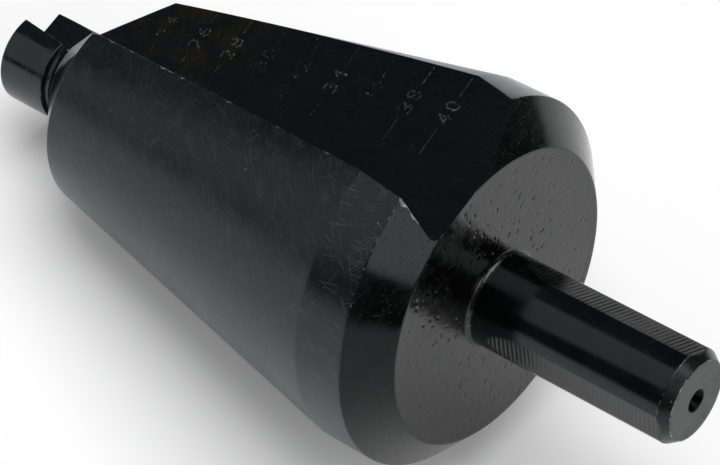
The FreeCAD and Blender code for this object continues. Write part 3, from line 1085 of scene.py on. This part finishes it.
    def build_edge_wear(self) -> Tree:
        """Bare steel along the edges, broken up so that it comes and goes."""
        wiring, given, result = self.begin(
            "edge_wear", {"Place": Kind.VECTOR, "Amount": Kind.NUMBER, "Scale": Kind.NUMBER},
            {"Mask": Kind.NUMBER})
        worn = wiring.add("Attribute", attribute_name="edge_wear").outputs["Fac"]
        uneven = wiring.noise(given["Place"], given["Scale"], 5.0, 0.65)
        near = wiring.math("MULTIPLY_ADD", uneven, 1.1, wiring.math("ADD", worn, -0.95))
        wiring.feed(result["Mask"], wiring.math("MULTIPLY", wiring.ramp(near, 0.1, 0.45), given["Amount"]))
        return wiring.tree


class Run(Enum):
    """Which way the lines of the last machining step run on the texture axes."""

    AROUND = 0.0
    LENGTHWISE = 90.0
    SLANTED = 38.0


@dataclass(frozen=True)
class Finish:
    """One finish of the blackened steel, with the marks that its machining and use left."""

    name: str
    deep: Colour = (0.0035, 0.0038, 0.0042)
    light: Colour = (0.011, 0.0118, 0.0125)
    cloud_scale: float = 0.16
    roughness: float = 0.2
    roughness_swing: float = 0.08
    line_pitch: float = 0.12
    line_length: float = 9.0
    line_height: float = 0.0006
    line_shine: float = 0.06
    run: Run = Run.AROUND
    scratch_share: float = 0.5
    scratch_width: float = 0.06
    scratch_tone: float = 0.05
    speck_spacing: float = 0.8
    speck_share: float = 0.03
    speck_colour: Colour = (0.16, 0.16, 0.155)
    pit_spacing: float = 0.5
    pit_share: float = 0.0
    pit_depth: float = 0.01
    bare: Colour = (0.42, 0.41, 0.39)
    bare_roughness: float = 0.28
    wear: float = 0.8
    shine_tint: Colour = (0.9, 0.95, 1.0)
    tint: Colour | None = None
    tint_from: float = 0.0
    tint_to: float = 1.0

    def material(self, effects: Effects) -> bpy.types.Material:
        """Makes the material of this finish.

        Args:
            effects: the shared node groups.

        Returns:
            The new material.
        """
        made, wiring, shader = start_material(self.name)
        solid = wiring.add("TexCoord").outputs["Object"]
        place = wiring.millimetres(solid)
        flat = wiring.add("UVMap", uv_map="surface_mm").outputs[0]
        turned = wiring.turn(flat, self.run.value)
        tone = wiring.group(effects.tone, Place=place, Scale=self.cloud_scale,
                            Deep=self.deep, Light=self.light)
        lines = wiring.group(effects.lines, Place=turned, Pitch=self.line_pitch, Length=self.line_length)
        scratches = wiring.group(effects.scratches, Place=flat, Share=self.scratch_share,
                                 Width=self.scratch_width)
        specks = wiring.group(effects.specks, Place=place, Spacing=self.speck_spacing,
                              Share=self.speck_share)
        pits = wiring.group(effects.specks, Place=place, Spacing=self.pit_spacing, Share=self.pit_share)
        wear = wiring.group(effects.edge_wear, Place=place, Amount=self.wear, Scale=1.7)

        colour = tone.outputs["Color"]
        if self.tint:
            colour = wiring.mix(self.tint_mask(wiring, solid, place), colour, self.tint)
        pale = wiring.math("MULTIPLY", scratches.outputs["Mask"], self.scratch_tone)
        colour = wiring.mix(pale, colour, self.bare)
        colour = wiring.mix(specks.outputs["Mask"], colour, self.speck_colour)
        bare = wiring.math("MAXIMUM", wear.outputs["Mask"], wiring.math("MULTIPLY", pale, 2.0), clamp=True)
        wiring.feed(shader.inputs["Base Color"], wiring.mix(wear.outputs["Mask"], colour, self.bare))
        wiring.feed(shader.inputs["Metallic"], bare)
        swing = wiring.ramp(tone.outputs["Mask"], 0.0, 1.0, self.roughness - self.roughness_swing,
                            self.roughness + self.roughness_swing)
        lined = wiring.math("MULTIPLY_ADD", lines.outputs["Mask"], self.line_shine, swing)
        rough = wiring.math("MULTIPLY_ADD", pits.outputs["Mask"], 0.3, lined, clamp=True)
        rough = wiring.ramp(bare, 0.0, 1.0, rough, self.bare_roughness)
        wiring.feed(shader.inputs["Roughness"], rough)
        height = wiring.math("MULTIPLY", lines.outputs["Height"], self.line_height)
        height = wiring.math("MULTIPLY_ADD", scratches.outputs["Mask"], -self.line_height, height)
        height = wiring.math("MULTIPLY_ADD", pits.outputs["Mask"], -self.pit_depth, height)
        bump = wiring.add("Bump", {"Strength": 1.0, "Distance": METRES, "Height": height})
        wiring.feed(shader.inputs["Normal"], bump.outputs[0])
        shader.inputs["IOR"].default_value = 1.5
        shader.inputs["Specular Tint"].default_value = (*self.shine_tint, 1.0)
        return made

    def tint_mask(self, wiring: Wiring, solid: Socket, place: Socket) -> Socket:
        """Where the heat of grinding tinted the metal, as a mask along the bit."""
        along = wiring.math("MULTIPLY", wiring.add("SeparateXYZ", {"Vector": solid}).outputs[0], 1 / METRES)
        patchy = wiring.noise(place, 0.5, 4.0, 0.6)
        shifted = wiring.math("MULTIPLY_ADD", patchy, 14.0, along)
        rise = wiring.ramp(shifted, self.tint_from, self.tint_from + 9.0)
        fall = wiring.ramp(shifted, self.tint_to, self.tint_to + 9.0, 1.0, 0.0)
        return wiring.math("MULTIPLY", wiring.math("MULTIPLY", rise, fall), wiring.ramp(patchy, 0.42, 0.7))


FINISHES: dict[Surface, Finish] = {
    Surface.PILOT: Finish(
        "turned_pilot", light=(0.007, 0.0075, 0.008), roughness=0.18, line_pitch=0.2,
        line_height=0.0009, scratch_share=0.3, speck_share=0.03,
    ),
    Surface.FRONT_BEVEL: Finish(
        "turned_front_bevel", light=(0.007, 0.0075, 0.008), roughness=0.16, line_pitch=0.16,
        line_height=0.001, wear=0.75, bare=(0.46, 0.46, 0.46), bare_roughness=0.42,
        shine_tint=(0.55, 0.6, 0.64),
    ),
    Surface.CONE: Finish(
        "ground_cone", deep=(0.0025, 0.0035, 0.0048), light=(0.0055, 0.0065, 0.0085),
        cloud_scale=0.09, roughness=0.29, roughness_swing=0.03, line_pitch=0.09, line_height=0.0006,
        speck_share=0.05, scratch_share=0.5, scratch_tone=0.13, shine_tint=(0.62, 0.68, 0.78),
    ),
    Surface.BAND: Finish(
        "ground_band", deep=(0.0025, 0.0035, 0.004), light=(0.0055, 0.0068, 0.0078),
        cloud_scale=0.09, roughness=0.24, roughness_swing=0.03, line_pitch=0.09, line_height=0.0006,
        speck_share=0.04, scratch_share=0.42, scratch_tone=0.13, bare=(0.6, 0.6, 0.6),
        bare_roughness=0.38, shine_tint=(0.8, 0.9, 0.96),
    ),
    Surface.REAR_BEVEL: Finish(
        "forged_rear_bevel", deep=(0.001, 0.0011, 0.0012), light=(0.0045, 0.0048, 0.005),
        roughness=0.13, roughness_swing=0.03, line_pitch=0.3, line_height=0.0015, pit_share=0.5,
        pit_spacing=0.3, pit_depth=0.05, speck_spacing=0.55, speck_share=0.03, scratch_share=0.2,
        bare=(0.6, 0.6, 0.6), bare_roughness=0.38, shine_tint=(0.42, 0.45, 0.46),
    ),
    Surface.REAR_FACE: Finish(
        "forged_rear_face", deep=(0.0008, 0.0009, 0.0008), light=(0.004, 0.0046, 0.0038),
        roughness=0.2, line_pitch=0.34, line_length=0.8, line_height=0.009, run=Run.SLANTED,
        scratch_share=0.1, pit_share=0.12, pit_depth=0.02, speck_share=0.03,
        shine_tint=(0.93, 1.0, 0.94),
    ),
    Surface.SHANK: Finish(
        "turned_shank", deep=(0.0006, 0.0007, 0.0008), light=(0.002, 0.0022, 0.0025),
        roughness=0.15, roughness_swing=0.02, line_pitch=0.14, line_height=0.0006,
        scratch_share=0.12, speck_share=0.02, shine_tint=(0.8, 0.86, 0.9),
    ),
    Surface.FLAT: Finish(
        "milled_flat", deep=(0.002, 0.0022, 0.0022), light=(0.009, 0.0094, 0.0092), roughness=0.2,
        line_pitch=0.18, line_height=0.001, scratch_share=0.2, speck_share=0.02,
        shine_tint=(0.85, 0.87, 0.88),
    ),
    Surface.END_FACE: Finish(
        "turned_end", light=(0.004, 0.005, 0.0048), roughness=0.3, line_pitch=0.2,
        line_height=0.0008, speck_share=0.06, shine_tint=(0.64, 0.72, 0.72),
    ),
    Surface.FLUTE: Finish(
        "ground_flute", deep=(0.001, 0.0015, 0.0018), light=(0.0018, 0.0027, 0.0032),
        cloud_scale=0.07, roughness=0.2, roughness_swing=0.02, line_pitch=0.1, line_length=14.0,
        line_height=0.002, line_shine=0.2, run=Run.LENGTHWISE, scratch_share=0.35,
        scratch_tone=0.02, speck_share=0.012, shine_tint=(0.7, 0.84, 0.95),
        tint=(0.0085, 0.0066, 0.003), tint_from=-34.0, tint_to=-14.0,
    ),
    Surface.HOLE: Finish(
        "drilled_hole", deep=(0.0006, 0.0007, 0.0008), light=(0.0015, 0.0017, 0.0018),
        roughness=0.35, line_height=0.0004, scratch_share=0.1, speck_share=0.01,
        shine_tint=(0.12, 0.13, 0.13),
    ),
}


@dataclass(frozen=True)
class MarkFinish:
    """The thin etched line of the scale, mostly worn to specks."""

    name: str = "etched_scale"
    colour: Colour = (0.1, 0.096, 0.078)
    roughness: float = 0.45

    def material(self) -> bpy.types.Material:
        """Makes the material, with holes where the etching is worn away."""
        made, wiring, shader = start_material(self.name)
        solid = wiring.add("TexCoord").outputs["Object"]
        place = wiring.millimetres(solid)
        clarity = wiring.add("Attribute", attribute_name="clarity").outputs["Fac"]
        patches = wiring.noise(place, 3.2, 5.0, 0.7)
        kept = wiring.ramp(wiring.math("MULTIPLY_ADD", clarity, 0.28, patches), 0.62, 0.74)
        spots = wiring.ramp(wiring.noise(place, 2.1, 4.0, 0.7), 0.42, 0.64)
        tone = wiring.mix(spots, tuple(0.16 * part for part in self.colour), self.colour)
        wiring.feed(shader.inputs["Base Color"], tone)
        wiring.feed(shader.inputs["Alpha"], kept)
        shader.inputs["Roughness"].default_value = self.roughness
        return made


@dataclass(frozen=True)
class Softbox:
    """A lamp that hangs at a place, faces another, and gives an even light."""

    name: str
    place: Colour
    wide: float
    tall: float
    watts: float
    target: Colour = (0.0, 0.0, 0.02)

    def build(self) -> None:
        """Hangs the lamp. Lengths are metres."""
        lamp = bpy.data.lights.new(self.name, "AREA")
        lamp.shape = "RECTANGLE"
        lamp.size = self.wide
        lamp.size_y = self.tall
        lamp.energy = self.watts
        made = add_object(self.name, lamp)
        made.location = self.place
        aim = Vector(self.target) - Vector(self.place)
        made.rotation_euler = aim.to_track_quat("-Z", "Y").to_euler()


@dataclass
class Studio:
    """White floor, soft lamps, a dim room and the camera."""

    floor_size: float = 6.0
    floor_colour: Colour = (0.93, 0.93, 0.93)
    floor_glow: float = 0.15
    room_light: float = 0.07
    lamps: tuple[Softbox, ...] = (
        Softbox("overhead", (0.04, 0.08, 0.85), 0.75, 0.75, 6.4),
        Softbox("left_front", (-0.338, -0.226, 0.31), 0.36, 0.57, 0.36),
        Softbox("right", (0.55, -0.12, 0.36), 0.3, 0.3, 0.67),
    )
    camera_place: Colour = (0.111629, -0.149344, 0.231591)
    camera_right: Colour = (0.75797, 0.64877, 0.06771)
    camera_forward: Colour = (-0.38363, 0.52731, -0.75814)
    lens: float = 138.94
    width: int = 720
    height: int = 465

    def build_floor(self) -> None:
        """Lays the matte floor under the part."""
        half = self.floor_size / 2
        mesh = bpy.data.meshes.new("floor")
        corners = [(-half, -half, 0.0), (half, -half, 0.0), (half, half, 0.0), (-half, half, 0.0)]
        mesh.from_pydata(corners, [], [(0, 1, 2, 3)])
        made, wiring, shader = start_material("white_floor")
        shader.inputs["Base Color"].default_value = (*self.floor_colour, 1.0)
        shader.inputs["Roughness"].default_value = 1.0
        shader.inputs["Specular IOR Level"].default_value = 0.0
        shader.inputs["Emission Color"].default_value = (1.0, 1.0, 1.0, 1.0)
        path = wiring.add("LightPath").outputs
        seen = wiring.math("ADD", path["Is Camera Ray"], path["Is Glossy Ray"])
        seen = wiring.math("ADD", seen, path["Is Transmission Ray"])
        wiring.feed(shader.inputs["Emission Strength"], wiring.math("MULTIPLY", seen, self.floor_glow))
        mesh.materials.append(made)
        floor = add_object("floor", mesh)

    def build_room(self) -> None:
        """Gives the room behind the lamps its dim, even light."""
        world = bpy.data.worlds.new("dim_room")
        world.use_nodes = True
        background = world.node_tree.nodes["Background"]
        background.inputs["Color"].default_value = (1.0, 1.0, 1.0, 1.0)
        background.inputs["Strength"].default_value = self.room_light
        bpy.context.scene.world = world

    def build_camera(self) -> None:
        """Sets the camera where the photograph was taken from."""
        lens = bpy.data.cameras.new("camera")
        lens.lens = self.lens
        lens.clip_start = 0.01
        made = add_object("camera", lens)
        right, forward = Vector(self.camera_right).normalized(), Vector(self.camera_forward).normalized()
        up = right.cross(forward).normalized()
        turn = Matrix((right, up, -forward)).transposed().to_4x4()
        made.matrix_world = Matrix.Translation(Vector(self.camera_place)) @ turn
        bpy.context.scene.camera = made
        bpy.context.scene.render.resolution_x = self.width
        bpy.context.scene.render.resolution_y = self.height

    def build(self) -> None:
        """Builds the floor, the lamps, the room and the camera."""
        self.build_floor()
        for lamp in self.lamps:
            lamp.build()
        self.build_room()
        self.build_camera()


def main() -> None:
    """Builds the bit, its marks and the studio, and reports each piece."""
    logging.basicConfig(level=logging.INFO, format="%(name)s: %(message)s")
    placement, effects, shell = Placement(), Effects(), Shell()
    base_ring = CutterHead().add_to(shell)
    Shank().add_to(shell, base_ring)
    bit = shell.build("dressed_bit", placement)
    for surface in Surface:
        bit.data.materials.append(FINISHES[surface].material(effects))
    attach(bit, "root")
    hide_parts(NODE)
    LOG.info("%s: %d faces", bit.name, len(bit.data.polygons))
    marks = ScaleMarks().build("scale_marks", placement)
    marks.data.materials.append(MarkFinish().material())
    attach(marks, "root")
    LOG.info("%s: %d faces", marks.name, len(marks.data.polygons))
    Studio().build()
    bpy.context.scene.view_settings.view_transform = "Standard"


if __name__ == "__main__":
    main()
